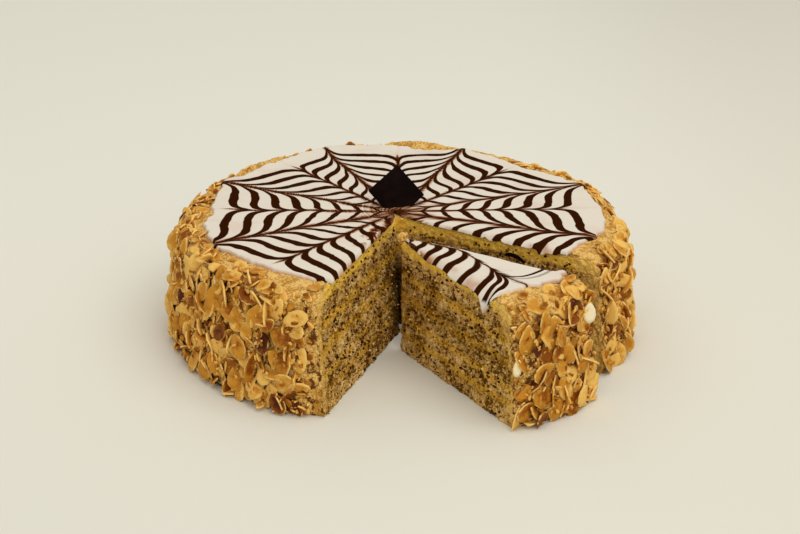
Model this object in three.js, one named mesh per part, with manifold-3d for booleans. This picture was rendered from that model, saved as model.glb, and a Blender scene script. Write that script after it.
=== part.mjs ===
// Esterhazy torte with one slice drawn out of its cut, on its own flat underside.
// Millimetres, +Z up, the open cut towards -Y. Azimuths are degrees from +X, counter-clockwise.
import * as THREE from "three";
import { mergeVertices } from "three/addons/utils/BufferGeometryUtils.js";
import Module from "manifold-3d";

const wasm = await Module();
wasm.setup();

// ---- Driving dimensions ----

const gap = 0.3; // air between two pieces that touch
const spongeHeights = [8.6, 4.2, 6.6, 6.0, 6.0]; // from the plate up
const fillingHeights = [5.8, 4.8, 6.4, 7.0]; // cream between two sponges
const creamTop = 63.6; // top of the cream coat
const icingThickness = 2.4;
const icingEdgeRound = 0.8;
const icingOverhang = 1.6; // past a cut face
const pointSetBack = 3.5; // the icing starts this far behind the point of its piece

// Side of the coat as distance beyond the wall radius at each height, foot to shoulder.
const wallProfile = [
  { z: 0, out: 3 },
  { z: 4, out: 4.6 },
  { z: 16, out: 3.6 },
  { z: 38, out: 1 },
  { z: 54, out: -0.5 },
  { z: 60, out: -2.6 },
  { z: 62.8, out: -6 },
  { z: creamTop, out: -12 },
];
const coreFoot = -3; // sponges end this far from the wall radius at the plate
const coreTop = -11; // and this far under the top cream

// The cake keeps 280 degrees. Wall and icing radii are driven at these azimuths.
const cake = {
  name: "cake",
  apex: [-4, -1],
  centre: [0, 0],
  cutFrom: -30.2,
  cutTo: 249.7,
  wallSides: 60,
  coreSides: 30,
  flakeCrowding: 1,
  wall: [
    [-30, 119], [-14, 122], [5, 119.5], [30, 120.5], [51, 118.5], [72, 120], [90, 122.5],
    [112, 123], [130, 121.5], [155, 121.5], [172, 122.5], [190, 123.5], [210, 121],
    [230, 119.5], [243, 118.5], [250, 115.5],
  ],
  icing: [
    [-31, 105], [-20, 105.5], [-18, 108], [-10, 107.5], [10, 107.5], [20, 109.5], [23, 114], [30, 110.5],
    [38, 110], [46, 106], [60, 110.5], [68, 116], [75, 111.5], [85, 112], [92, 116], [104, 117],
    [111, 119.5], [118, 118], [128, 114], [148, 112.5], [155, 116], [162, 111.5], [172, 108.5],
    [180, 105.5], [188, 109], [206, 109], [213, 105], [222, 104], [240, 104], [250, 101.5],
  ],
  // Drop of the icing down a cut face at each distance from the apex.
  drapeFrom: [
    [14, 0.6], [28, 1.2], [44, 2.4], [58, 4.4], [72, 4.2], [82, 3], [87, 3.4], [90, 5.4], [93, 3.2], [100, 1],
  ],
  drapeTo: [[8, 0.6], [28, 1.4], [44, 2.4], [56, 2.6], [66, 3.6], [78, 4.6], [86, 4.2], [93, 2]],
};

// The slice stands in the cut, its point 35 mm in front of the middle of the cake.
const slice = {
  name: "slice",
  apex: [-1.2, -35.6],
  centre: [-1.2, -35.6],
  cutFrom: -57.8,
  cutTo: -27.7,
  wallSides: 60,
  coreSides: 36,
  flakeCrowding: 1.5,
  wall: [[-64, 96.5], [-57.8, 99], [-50, 103.5], [-42, 106], [-34, 107], [-27.7, 107.5], [-20, 107.5]],
  icing: [[-64, 84], [-57.8, 85], [-51, 87.5], [-44, 88.5], [-38, 94], [-31, 97], [-27.7, 93], [-20, 90]],
  drapeFrom: [
    [6, 0.6], [16, 2.4], [26, 4.4], [38, 8.4], [52, 9.4], [62, 8], [70, 6.6], [73, 9.2], [76, 14.2], [79, 11], [82, 4],
  ],
  drapeTo: [[8, 0.6], [30, 1.6], [50, 1.2], [68, 2.6], [84, 1.4]],
};

const flakeSides = 8;
const flakeThickness = 1.3;
// Rows of flaked almonds on a wall: height, pitch along the wall, length, lift and lean off the wall.
const almondRows = [
  { z: 8, pitch: 17, length: 15.5, lift: 1, lean: 16 },
  { z: 20.5, pitch: 18, length: 15.5, lift: 1, lean: 20 },
  { z: 33, pitch: 18, length: 15, lift: 1, lean: 20 },
  { z: 45, pitch: 18, length: 14.5, lift: 1, lean: 22 },
  { z: 55, pitch: 27, length: 12, lift: 1, lean: 28 },
  { z: 61.5, pitch: 23, length: 11.5, lift: 2, lean: 70 },
];
const footFlakes = { z: 1.6, pitch: 27, length: 12.5, reach: 2.4 }; // lying flat at the foot
const tipCrumb = { radius: 2.8, at: [1.4, 1.2, 63.6] }; // cream pushed up at the point of the slice

const plaque = {
  side: 22.6,
  thickness: 2.2,
  foot: [-4.6, 5.3], // plan place of its lower corner, inside the cake
  sunk: 6.7, // how deep that corner goes below the top of the icing
  lean: 33, // backwards, from upright
  turn: 16, // about the upright
  roll: -10, // about its own face
};

// A sliver of chocolate stuck to the right-hand cut face: distance from the apex and height.
const sliver = { from: [67, 56.6], over: [73, 57.6], to: [80, 53.8], width: 2, thickness: 1.2 };

// ---- Helpers ----

const toRadians = THREE.MathUtils.degToRad;

// Seeded draws, so that every build lays the flakes alike.
function draws(seed) {
  let state = seed;
  return (low, high) => {
    state = (Math.imul(state, 1664525) + 1013904223) >>> 0;
    return low + ((high - low) * state) / 2 ** 32;
  };
}

// Smooth value between driven pairs [where, value].
function between(pairs, where) {
  const last = pairs.length - 1;
  if (where <= pairs[0][0]) return pairs[0][1];
  if (where >= pairs[last][0]) return pairs[last][1];
  const next = pairs.findIndex(([at]) => at > where);
  const [[a, low], [b, high]] = [pairs[next - 1], pairs[next]];
  return THREE.MathUtils.lerp(low, high, THREE.MathUtils.smoothstep(where, a, b));
}

// Azimuth of a plan point about the centre of a piece, kept above the first cut.
function azimuthOf(piece, x, y) {
  const middle = (piece.cutFrom + piece.cutTo) / 2;
  const azimuth = THREE.MathUtils.radToDeg(Math.atan2(y, x));
  return middle + THREE.MathUtils.euclideanModulo(azimuth - middle + 180, 360) - 180;
}

function wallRadius(piece, azimuth) {
  return between(piece.wall, azimuth);
}

function direction(azimuth) {
  return new THREE.Vector2(Math.cos(toRadians(azimuth)), Math.sin(toRadians(azimuth)));
}

// A closed three.js geometry as a manifold-3d solid.
function solid(geometry) {
  const bare = new THREE.BufferGeometry().setAttribute("position", geometry.getAttribute("position"));
  bare.setIndex(geometry.index);
  const merged = mergeVertices(bare, 1e-4);
  const corners = [...merged.index.array];
  const kept = [];
  for (let i = 0; i < corners.length; i += 3) {
    const [a, b, c] = corners.slice(i, i + 3);
    if (a !== b && b !== c && c !== a) kept.push(a, b, c);
  }
  return new wasm.Manifold(
    new wasm.Mesh({
      numProp: 3,
      vertProperties: merged.attributes.position.array,
      triVerts: new Uint32Array(kept),
    }),
  );
}

// The largest body only: a scrap that touches nothing goes, and a sealed hollow is filled.
function oneBody(made) {
  return made.decompose().reduce((best, body) => (body.volume() > best.volume() ? body : best));
}

function geometryOf(made) {
  const mesh = made.getMesh();
  const geometry = new THREE.BufferGeometry();
  geometry.setAttribute("position", new THREE.BufferAttribute(new Float32Array(mesh.vertProperties), 3));
  geometry.setIndex(new THREE.BufferAttribute(new Uint32Array(mesh.triVerts), 1));
  geometry.computeVertexNormals();
  return geometry;
}

// A full turn whose profile [distance from the wall radius, z] follows the wall of a piece.
function turned(piece, profile, sides) {
  const nominal = 100;
  const points = profile.map(([out, z]) => new THREE.Vector2(out === null ? 0 : nominal + out, z));
  const geometry = new THREE.LatheGeometry(points, sides).rotateX(Math.PI / 2);
  const position = geometry.getAttribute("position");
  for (let i = 0; i < position.count; i++) {
    const [x, y] = [position.getX(i), position.getY(i)];
    const radius = Math.hypot(x, y);
    if (radius < 1e-6) {
      position.setXY(i, 0, 0);
      continue;
    }
    const grown = radius - nominal + wallRadius(piece, azimuthOf(piece, x, y));
    position.setXY(i, (x / radius) * grown, (y / radius) * grown);
  }
  return solid(geometry);
}

// An upright prism between two heights.
function prism(outline, low, high) {
  const shape = new THREE.Shape(outline);
  const geometry = new THREE.ExtrudeGeometry(shape, { depth: high - low, bevelEnabled: false });
  return solid(geometry.translate(0, 0, low));
}

// The plan sector that the piece keeps, about its own centre.
function sector(piece, low, high) {
  const reach = 220;
  const steps = 4;
  const apex = new THREE.Vector2(piece.apex[0] - piece.centre[0], piece.apex[1] - piece.centre[1]);
  const outline = [apex];
  for (let i = 0; i <= steps; i++) {
    const azimuth = THREE.MathUtils.lerp(piece.cutFrom, piece.cutTo, i / steps);
    outline.push(direction(azimuth).multiplyScalar(reach).add(apex));
  }
  return prism(outline, low, high);
}

// ---- Layers ----

// Heights of each layer, plate up: sponge, filling, sponge and so on.
function layerStack() {
  const stack = [];
  let z = 0;
  spongeHeights.forEach((height, i) => {
    stack.push({ name: `sponge_${i + 1}`, low: z, high: z + height });
    z += height;
    if (i < fillingHeights.length) {
      stack.push({ name: `filling_${i + 1}`, low: z, high: z + fillingHeights[i] });
      z += fillingHeights[i];
    }
  });
  return stack;
}

const stack = layerStack();
const coreHeight = stack[stack.length - 1].high;

function core(piece, grow, low, high) {
  const profile = [[null, low], [coreFoot + grow, low], [coreTop + grow, high], [null, high]];
  return turned(piece, profile, piece.coreSides);
}

// ---- Coat: top cream and outer wall in one, with the almonds fused on ----

// Place on the wall at an azimuth and a height, with the slope of the wall there.
function wallPlace(piece, azimuth, z) {
  const next = Math.max(1, wallProfile.findIndex((step) => step.z >= z));
  const [a, b] = [wallProfile[next - 1], wallProfile[next]];
  const out = THREE.MathUtils.mapLinear(z, a.z, b.z, a.out, b.out);
  const radius = wallRadius(piece, azimuth) + out;
  const slope = Math.atan2(a.out - b.out, b.z - a.z);
  const outward = direction(azimuth);
  const normal = new THREE.Vector3(outward.x * Math.cos(slope), outward.y * Math.cos(slope), Math.sin(slope));
  return { at: new THREE.Vector3(outward.x * radius, outward.y * radius, z), normal };
}

// One flaked almond: an egg-shaped leaf, its long side along its own X.
function flake(length, width, taper) {
  const outline = Array.from({ length: flakeSides }, (_, i) => {
    const turn = (2 * Math.PI * i) / flakeSides;
    return new THREE.Vector2(
      (length / 2) * Math.cos(turn),
      (width / 2) * Math.sin(turn) * (1 - taper * Math.cos(turn)),
    );
  });
  const leaf = new THREE.ExtrudeGeometry(new THREE.Shape(outline), { depth: flakeThickness, bevelEnabled: false });
  return leaf.translate(0, 0, -flakeThickness / 2);
}

// Lays a flake on a place: spin about the wall's normal, lean about its own long side.
function laid(leaf, place, lift, spin, lean) {
  const across = new THREE.Vector3(0, 0, 1).cross(place.normal).normalize();
  const upward = place.normal.clone().cross(across);
  const turn = new THREE.Quaternion()
    .setFromRotationMatrix(new THREE.Matrix4().makeBasis(across, upward, place.normal))
    .multiply(new THREE.Quaternion().setFromEuler(new THREE.Euler(0, 0, toRadians(spin))))
    .multiply(new THREE.Quaternion().setFromEuler(new THREE.Euler(toRadians(lean), 0, 0)));
  const at = place.at.clone().addScaledVector(place.normal, lift);
  return solid(leaf.applyMatrix4(new THREE.Matrix4().compose(at, turn, new THREE.Vector3(1, 1, 1))));
}

function almondsOn(piece, seed) {
  const draw = draws(seed);
  const span = piece.cutTo - piece.cutFrom;
  const flakes = [];
  const icingRoom = prism(icingOutline(piece, gap), creamTop, 2 * creamTop);
  almondRows.forEach((row, rank) => {
    const run = toRadians(span) * wallRadius(piece, (piece.cutFrom + piece.cutTo) / 2);
    const count = Math.round((run / row.pitch) * piece.flakeCrowding);
    for (let i = 0; i < count; i++) {
      const along = (i + 0.5 + (rank % 2) / 2 + draw(-0.22, 0.22)) / count;
      const place = wallPlace(piece, piece.cutFrom + span * along, row.z + draw(-2.6, 2.6));
      const length = row.length * draw(0.72, 1.05);
      const leaf = flake(length, length * draw(0.5, 0.68), draw(0.05, 0.35));
      const almond = laid(leaf, place, row.lift * draw(0.6, 1.4), draw(20, 160), draw(-1, 1) * row.lean);
      flakes.push(almond.subtract(icingRoom));
    }
  });
  const footCount = Math.round((toRadians(span) * wallRadius(piece, 0)) / footFlakes.pitch);
  for (let i = 0; i < footCount; i++) {
    const azimuth = piece.cutFrom + (span * (i + 0.5 + draw(-0.3, 0.3))) / footCount;
    const place = wallPlace(piece, azimuth, footFlakes.z + draw(0, 1.2));
    const outward = direction(azimuth).multiplyScalar(draw(-1, 1) * footFlakes.reach);
    place.at.add(new THREE.Vector3(outward.x, outward.y, 0));
    const length = footFlakes.length * draw(0.8, 1.05);
    const leaf = flake(length, length * 0.58, draw(0.1, 0.35)).rotateZ(toRadians(azimuth + draw(-50, 50)));
    leaf.rotateX(toRadians(draw(-8, 8))).translate(...place.at.toArray());
    flakes.push(solid(leaf));
  }
  return flakes;
}

function coat(piece, seed) {
  const outside = wallProfile.map(({ out, z }) => [out, z]);
  let body = turned(piece, [[null, 0], ...outside, [null, creamTop]], piece.wallSides);
  for (const almond of almondsOn(piece, seed)) body = body.add(almond);
  const pocket = core(piece, gap, -1, coreHeight + gap);
  return oneBody(body.intersect(sector(piece, 0, 2 * creamTop)).subtract(pocket));
}

function crumb({ radius, at }) {
  return solid(new THREE.SphereGeometry(radius, 7, 5).scale(1.25, 1, 0.7).translate(...at));
}

// ---- Icing: a thin lobed sheet that droops over the cut faces ----

// Stands a flat extrusion drawn as [distance from the apex, z] just outside a cut face.
function onFace(piece, azimuth, side, geometry, thickness) {
  geometry.rotateX(Math.PI / 2).translate(0, side > 0 ? thickness + gap : -gap, 0);
  geometry.rotateZ(toRadians(azimuth));
  return geometry.translate(piece.apex[0] - piece.centre[0], piece.apex[1] - piece.centre[1], 0);
}

// A curtain of icing down a cut face, its lower edge driven by [distance from the apex, drop].
function drape(piece, azimuth, drops, side) {
  const thickness = 1.5;
  const top = creamTop + gap + icingThickness * 0.6;
  const [start, end] = [drops[0][0], drops[drops.length - 1][0]];
  const outline = [new THREE.Vector2(start, top)];
  const steps = 2 * drops.length;
  for (let i = 0; i <= steps; i++) {
    const s = THREE.MathUtils.lerp(start, end, i / steps);
    outline.push(new THREE.Vector2(s, creamTop - between(drops, s)));
  }
  outline.push(new THREE.Vector2(end, top));
  const sheet = new THREE.ExtrudeGeometry(new THREE.Shape(outline), { depth: thickness, bevelEnabled: false });
  return solid(onFace(piece, azimuth, side, sheet, thickness));
}

// Plan outline of the icing, about the centre of its piece: its point, then round the lobed rim.
function icingOutline(piece, grow) {
  const stepsRound = Math.ceil((piece.cutTo - piece.cutFrom) / 5);
  const apex = new THREE.Vector2(piece.apex[0] - piece.centre[0], piece.apex[1] - piece.centre[1]);
  const outline = [apex.addScaledVector(direction((piece.cutFrom + piece.cutTo) / 2), pointSetBack)];
  for (let i = 0; i <= stepsRound; i++) {
    const azimuth = THREE.MathUtils.lerp(piece.cutFrom, piece.cutTo, i / stepsRound);
    outline.push(direction(azimuth).multiplyScalar(between(piece.icing, azimuth) + grow));
  }
  outline[1].addScaledVector(direction(piece.cutFrom - 90), icingOverhang);
  outline[outline.length - 1].addScaledVector(direction(piece.cutTo + 90), icingOverhang);
  return outline;
}

function icing(piece) {
  const sheet = new THREE.ExtrudeGeometry(new THREE.Shape(icingOutline(piece, 0)), {
    depth: icingThickness - 2 * icingEdgeRound,
    bevelThickness: icingEdgeRound,
    bevelSize: icingEdgeRound,
    bevelOffset: -icingEdgeRound,
    bevelSegments: 1,
  });
  let body = solid(sheet.translate(0, 0, creamTop + gap + icingEdgeRound));
  body = body.add(drape(piece, piece.cutFrom, piece.drapeFrom, -1));
  return oneBody(body.add(drape(piece, piece.cutTo, piece.drapeTo, 1)));
}

// ---- Chocolate: a thin square plaque standing on one corner, and a stray sliver ----

function plaqueGeometry(grow) {
  const half = plaque.side / Math.SQRT2;
  const corners = [[0, 0], [half, half], [0, 2 * half], [-half, half]];
  const outline = corners.map(([x, y]) => new THREE.Vector2(x, y));
  const bevel = grow > 0 ? 0.01 : 0.4;
  const sheet = new THREE.ExtrudeGeometry(new THREE.Shape(outline), {
    depth: plaque.thickness - 2 * bevel + 2 * grow,
    bevelThickness: bevel,
    bevelSize: bevel,
    bevelOffset: grow - bevel,
    bevelSegments: 1,
  });
  const foot = creamTop + gap + icingThickness - plaque.sunk;
  return sheet
    .translate(0, 0, -plaque.thickness / 2 + bevel - grow)
    .rotateZ(toRadians(plaque.roll))
    .rotateX(toRadians(90 - plaque.lean))
    .rotateZ(toRadians(plaque.turn))
    .translate(plaque.foot[0], plaque.foot[1], foot);
}

function sliverGeometry() {
  const { from, over, to, width, thickness } = sliver;
  const outline = new THREE.Shape();
  outline.moveTo(...from);
  outline.quadraticCurveTo(over[0], over[1] + width, ...to);
  outline.quadraticCurveTo(over[0], over[1] - width, ...from);
  const shard = new THREE.ExtrudeGeometry(outline, { depth: thickness, curveSegments: 5, bevelEnabled: false });
  return onFace(cake, cake.cutFrom, -1, shard, thickness);
}

// ---- Assembly ----

const looks = {
  sponge: { color: 0x8a6440, roughness: 0.92, metalness: 0 },
  filling: { color: 0xb98b45, roughness: 0.7, metalness: 0 },
  coat: { color: 0xd2a45c, roughness: 0.62, metalness: 0 },
  icing: { color: 0xf0e9e2, roughness: 0.34, metalness: 0 },
  chocolate: { color: 0x1d0f0b, roughness: 0.4, metalness: 0 },
};

function mesh(name, geometry, look) {
  const made = new THREE.Mesh(geometry, new THREE.MeshStandardMaterial(looks[look]));
  made.name = name;
  return made;
}

// All layers of one piece, in a group placed at the centre that its radii are measured from.
function assembled(piece, seed, cutters, crumbs) {
  const group = new THREE.Group();
  const kept = sector(piece, -1, 2 * creamTop);
  const whole = core(piece, 0, 0, coreHeight).intersect(kept);
  stack.forEach(({ name, low, high }, i) => {
    const slab = new THREE.BoxGeometry(600, 600, high - low - (i > 0 ? gap : 0));
    slab.translate(0, 0, (low + high + (i > 0 ? gap : 0)) / 2);
    group.add(mesh(`${piece.name}_${name}`, geometryOf(whole.intersect(solid(slab))), name.split("_")[0]));
  });
  const cut = (body) => oneBody(cutters.reduce((left, cutter) => left.subtract(cutter), body));
  const coated = crumbs.reduce((body, lump) => body.add(crumb(lump)), coat(piece, seed));
  group.add(mesh(`${piece.name}_coat`, geometryOf(cut(coated)), "coat"));
  group.add(mesh(`${piece.name}_icing`, geometryOf(cut(icing(piece))), "icing"));
  group.position.set(piece.centre[0], piece.centre[1], 0);
  return group;
}

const torte = new THREE.Group();
torte.add(assembled(cake, 11, [solid(plaqueGeometry(gap))], []));
torte.add(assembled(slice, 29, [], [tipCrumb]));
torte.add(mesh("plaque", plaqueGeometry(0), "chocolate"));
torte.add(mesh("chocolate_sliver", sliverGeometry(), "chocolate"));

export default torte;
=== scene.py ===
import math
import random

import bmesh
import bpy
from mathutils import Matrix, Vector, noise


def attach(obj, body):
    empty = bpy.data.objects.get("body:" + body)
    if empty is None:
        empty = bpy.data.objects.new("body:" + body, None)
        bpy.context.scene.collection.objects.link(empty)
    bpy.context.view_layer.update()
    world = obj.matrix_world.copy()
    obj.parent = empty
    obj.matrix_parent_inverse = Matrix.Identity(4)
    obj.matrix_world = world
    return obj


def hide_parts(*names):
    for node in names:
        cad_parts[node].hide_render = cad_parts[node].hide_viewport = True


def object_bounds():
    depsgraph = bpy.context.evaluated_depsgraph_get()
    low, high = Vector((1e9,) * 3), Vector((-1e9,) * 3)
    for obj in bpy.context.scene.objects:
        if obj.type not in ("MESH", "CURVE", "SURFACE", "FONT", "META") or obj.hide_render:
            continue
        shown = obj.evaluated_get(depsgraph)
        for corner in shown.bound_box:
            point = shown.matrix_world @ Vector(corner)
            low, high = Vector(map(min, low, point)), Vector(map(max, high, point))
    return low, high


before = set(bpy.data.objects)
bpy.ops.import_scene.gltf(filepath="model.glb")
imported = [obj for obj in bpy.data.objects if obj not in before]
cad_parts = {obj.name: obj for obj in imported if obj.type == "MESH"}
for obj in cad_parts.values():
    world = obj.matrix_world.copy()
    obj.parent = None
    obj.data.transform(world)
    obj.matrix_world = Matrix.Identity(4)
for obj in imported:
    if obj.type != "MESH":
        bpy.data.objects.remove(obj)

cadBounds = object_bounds()
mm = 0.001  # lengths below are millimetres, azimuths degrees from +X

# layout shared by the cake and its slice
stack = {
    "sponges": [(0, 8.6), (14.4, 18.6), (23.4, 30.0), (36.4, 42.4), (49.4, 55.5)],
    "fillings": [(8.6, 14.4), (18.6, 23.4), (30.0, 36.4), (42.4, 49.4)],
    "layersTop": 55.5,
    "icingTop": 66.3,
    # how far the wall and the layers inside it reach past the wall's radius, by height
    "wallOut": [(0, 3), (4, 4.6), (16, 3.6), (38, 1), (54, -0.5), (60, -2.6), (62.8, -6),
                (63.6, -12)],
    "coreOut": [(0, -3), (55.4, -11)],
}

cake = {
    "name": "cake",
    "apex": Vector((-4, -1, 0)),
    "centre": Vector((0, 0, 0)),
    "cuts": (-30.2, 249.7),
    # radius of the wall and of the icing, by azimuth
    "wall": [(-30, 119), (-14, 122), (5, 119.5), (30, 120.5), (51, 118.5), (72, 120), (90, 122.5),
             (112, 123), (130, 121.5), (155, 121.5), (172, 122.5), (190, 123.5), (210, 121),
             (230, 119.5), (243, 118.5), (250, 115.5)],
    "icing": [(-31, 100.5), (-24, 101.5), (-20, 103.5), (-17, 107), (-10, 110), (5, 110),
              (16, 110), (22, 111.5), (25, 115), (29, 110.5), (38, 107.5), (46, 103.5),
              (56, 107.5), (66, 110.5), (71, 113.5), (76, 109), (85, 108.5), (92, 113.5),
              (104, 117), (111, 120.5), (118, 118), (128, 113), (148, 111), (154, 116.5),
              (161, 111), (172, 108), (180, 105.5), (188, 109), (206, 109), (213, 105), (222, 103),
              (240, 101), (250, 96.5)],
    # how far the icing reaches below its top at each cut face, by distance from the point
    "hangs": ([(5, 1.2), (30, 1.8), (46, 1.8), (50, 2.5), (54, 2.5), (55.5, 1.9), (58, 2.9),
               (62.5, 2.9), (64, 2.1), (67, 3), (72, 3), (74, 2.1), (77, 2.9), (81.5, 2.9),
               (83, 2.1), (85.5, 2.4), (87.5, 4.8), (90, 4.8), (91.4, 2.8), (93.5, 3.4),
               (96.5, 3.4), (100, 2)],
              [(5, 1.2), (25, 1.9), (50, 1.7), (70, 2), (90, 2.6), (97, 1.8)]),
    # how far the rim of the coat stands up round the back
    "rimRise": [(-30, 0.2), (15, 1), (40, 2.4), (58, 3.4), (72, 4.6), (84, 6.4), (92, 6),
                (98, 3.4), (112, 3), (122, 3.4), (131, 5.4), (143, 5.8), (150, 2.8), (157, 1.2),
                (185, 0.6), (210, 0)],
    # how far the icing stops short of the second cut face, by distance from the point
    "short": [(0, 0), (1, 0)],
    # how far the second cut face leans out, by height
    "flare": [(0, 5.6), (20, 4.2), (45, 1.2), (58, 0)],
    # crumb of the cut faces: where the side cream begins, how far above the layers the top cream
    # does, how dark the darker layers are, and whether the inner corner gets painted shade
    "coatFrom": 120, "creamAbove": 0.5, "gloom": 0.16, "paintedCornerShade": True,
    # almonds: how far apart, and the share that stand on edge
    "flakeSpace": 1, "onEdge": 0.24,
    "faceSteps": 140, "arcSteps": 420, "layerArcSteps": 60, "icingSteps": 380,
    "seed": 11,
}

wedge = {
    "name": "slice",
    "apex": Vector((-1.2, -35.6, 0)),
    "centre": Vector((-1.2, -35.6, 0)),
    "cuts": (-57.8, -27.7),
    "wall": [(-64, 96.5), (-57.8, 99), (-50, 103.5), (-42, 106), (-34, 107), (-27.7, 107.5),
             (-20, 107.5)],
    "icing": [(-64, 84), (-57.8, 84.5), (-51, 86), (-44, 87), (-40, 90.5), (-33, 95.5),
              (-29, 93.5), (-20, 90)],
    "hangs": ([(3, 1.2), (13, 1.6), (28, 3.8), (36, 3.2), (43, 3.3), (51, 5.6), (57, 5.2),
               (63, 3.9), (71, 4.6), (74, 6), (76, 10), (78, 13.4), (80.5, 9.6), (82.5, 4.4),
               (87, 2)],
              [(4, 1.2), (30, 2), (50, 1.8), (68, 2.4), (84, 2)]),
    "rimRise": [(-64, 0.3), (-20, 0.3)],
    "short": [(24, 0), (60, 2.2), (82, 4.6), (85.5, 3.4), (88, 0.4)],
    "flare": [(0, 0), (1, 0)],
    "coatFrom": 104.5, "creamAbove": 2.5, "gloom": 0.38, "paintedCornerShade": False,
    "flakeSpace": 1.12, "onEdge": 0.1,
    "faceSteps": 120, "arcSteps": 60, "layerArcSteps": 16, "icingSteps": 60,
    "seed": 29,
}


def between(a, b, t):
    return a + (b - a) * t


def ramp(low, high, value):
    t = min(1, max(0, (value - low) / (high - low)))
    return t * t * (3 - 2 * t)


# value between pairs (where, value), eased or straight
def along(pairs, where, eased=True):
    if where <= pairs[0][0]:
        return pairs[0][1]
    for (a, low), (b, high) in zip(pairs, pairs[1:]):
        if where <= b:
            return between(low, high, ramp(a, b, where) if eased else (where - a) / (b - a))
    return pairs[-1][1]


def heading(azimuth):
    return Vector((math.cos(math.radians(azimuth)), math.sin(math.radians(azimuth)), 0))


def azimuthOf(piece, point):
    middle = sum(piece["cuts"]) / 2
    flat = point - piece["centre"]
    return middle + (math.degrees(math.atan2(flat.y, flat.x)) - middle + 180) % 360 - 180


# distance from the point of the piece, along an azimuth, to a rim given about its centre
def reach(piece, start, azimuth, radius):
    length = radius(azimuth)
    for _ in range(4):
        at = start + heading(azimuth) * length
        length += radius(azimuthOf(piece, at)) - (at - piece["centre"]).length
    return length


def wallRadius(piece, azimuth, out=0):
    return along(piece["wall"], azimuth) + out


def faceNormal(piece, cut):
    return heading(piece["cuts"][cut] + (90 if cut else -90))


def newObject(name, bm):
    mesh = bpy.data.meshes.new(name)
    bm.to_mesh(mesh)
    bm.free()
    mesh.polygons.foreach_set("use_smooth", [True] * len(mesh.polygons))
    made = bpy.data.objects.new(name, mesh)
    bpy.context.scene.collection.objects.link(made)
    return made


def finished(made, material, slot, *nodes):
    made.data.materials.clear()
    made.data.materials.append(material)
    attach(made, "root")
    if nodes:
        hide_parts(*nodes)
    return made


# a grid whose vertices go where place(column, row) says, closed at its seam and its open rims
def skin(bm, columns, rows, place, flatFill=True):
    edge = bm.verts.layers.float.get("edge") or bm.verts.layers.float.new("edge")
    across, down = len(columns) - 1, len(rows) - 1
    made = bmesh.ops.create_grid(bm, x_segments=across, y_segments=down, size=1)["verts"]
    for v in made:
        column = columns[round((v.co.x + 1) / 2 * across)]
        row = rows[round((v.co.y + 1) / 2 * down)]
        point, value = place(column, row)
        v.co = point * mm
        v[edge] = value
    bmesh.ops.remove_doubles(bm, verts=made, dist=2e-6)
    rims = [e for e in bm.edges if e.is_boundary]
    if flatFill:
        bmesh.ops.holes_fill(bm, edges=rims, sides=0)
    else:
        bmesh.ops.triangle_fill(bm, edges=rims, normal=(0, 0, 1))
    bmesh.ops.recalc_face_normals(bm, faces=bm.faces)


# a small shape for the joined copies: its bend, its soft faces and how near the rim a point is
def shapeOf(bm, curl, twist, soft, rim):
    shape = {"curl": curl, "twist": twist, "soft": soft, "rim": rim,
             "points": [v.co.copy() for v in bm.verts],
             "faces": [[v.index for v in f.verts] for f in bm.faces]}
    bm.free()
    return shape


# many copies of a few shapes as one mesh, with their rim and tone as attributes
def joined(name, placements):
    points, faces, rims, tones, soft = [], [], [], [], []
    for shape, size, matrix, value in placements:
        base = len(points)
        for p in shape["points"]:
            x, y = p.x * size[0] / 2, p.y * size[1] / 2
            z = p.z * size[2] / 2
            z += shape["curl"] * size[1] * (p.y * p.y - 0.5) + shape["twist"] * size[1] * p.x * p.x
            point = matrix @ Vector((x, y, z))
            point.z = max(point.z, 0.05 * (1 + p.z))  # none sinks into the floor
            points.append(point * mm)
        faces += [[base + i for i in f] for f in shape["faces"]]
        soft += shape["soft"]
        rims += shape["rim"]
        tones += [value] * len(shape["points"])
    mesh = bpy.data.meshes.new(name)
    mesh.from_pydata(points, [], faces)
    for key, values in (("rim", rims), ("toast", tones)):
        mesh.attributes.new(key, "FLOAT", "POINT").data.foreach_set("value", values)
    mesh.polygons.foreach_set("use_smooth", soft)
    made = bpy.data.objects.new(name, mesh)
    bpy.context.scene.collection.objects.link(made)
    return made


# a shader socket whose sums add Math nodes
class Wire:
    def __init__(self, graph, socket):
        self.graph, self.socket = graph, socket

    def maths(self, operation, *others):
        inputs = dict(enumerate((self, *others)))
        return self.graph.add("ShaderNodeMath", {"operation": operation}, inputs)

    def __add__(self, other):
        return self.maths("ADD", other)

    def __sub__(self, other):
        return self.maths("SUBTRACT", other)

    def __mul__(self, other):
        return self.maths("MULTIPLY", other)

    def __truediv__(self, other):
        return self.maths("DIVIDE", other)

    def __neg__(self):
        return self.maths("MULTIPLY", -1)

    def __rsub__(self, other):
        return -self + other

    def __rtruediv__(self, other):
        return self.maths("POWER", -1) * other

    __radd__ = __add__
    __rmul__ = __mul__


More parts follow.
